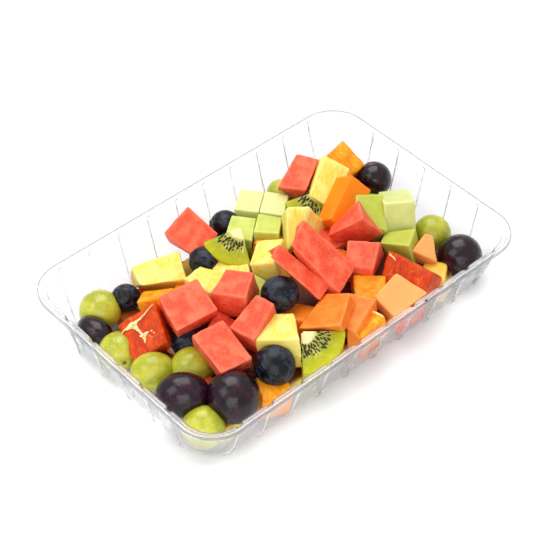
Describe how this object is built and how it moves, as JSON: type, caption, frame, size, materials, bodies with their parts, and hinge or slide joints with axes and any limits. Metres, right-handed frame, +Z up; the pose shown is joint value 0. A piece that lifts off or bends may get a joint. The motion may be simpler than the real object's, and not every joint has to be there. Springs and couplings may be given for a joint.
{
  "type": "fruit salad in a tray",
  "caption": "Fruit salad of knife-cut melon, pineapple, kiwi and orange with whole grapes and blueberries, heaped in a clear ribbed tray.",
  "frame": {"origin": "centre of the tray's underside, on the surface it stands on", "axes": "+X along the tray's long side, +Y along its short side, +Z up; the pictured front corner points to -X -Y"},
  "size_m": [0.228, 0.1524, 0.0582],
  "materials": {
    "clear_sheet": "glossy clear plastic sheet",
    "cut_fruit": "moist cut fruit"
  },
  "bodies": {
    "root": {"tray": "clear_sheet", "fruit_heap": "cut_fruit"}
  },
  "joints": []
}
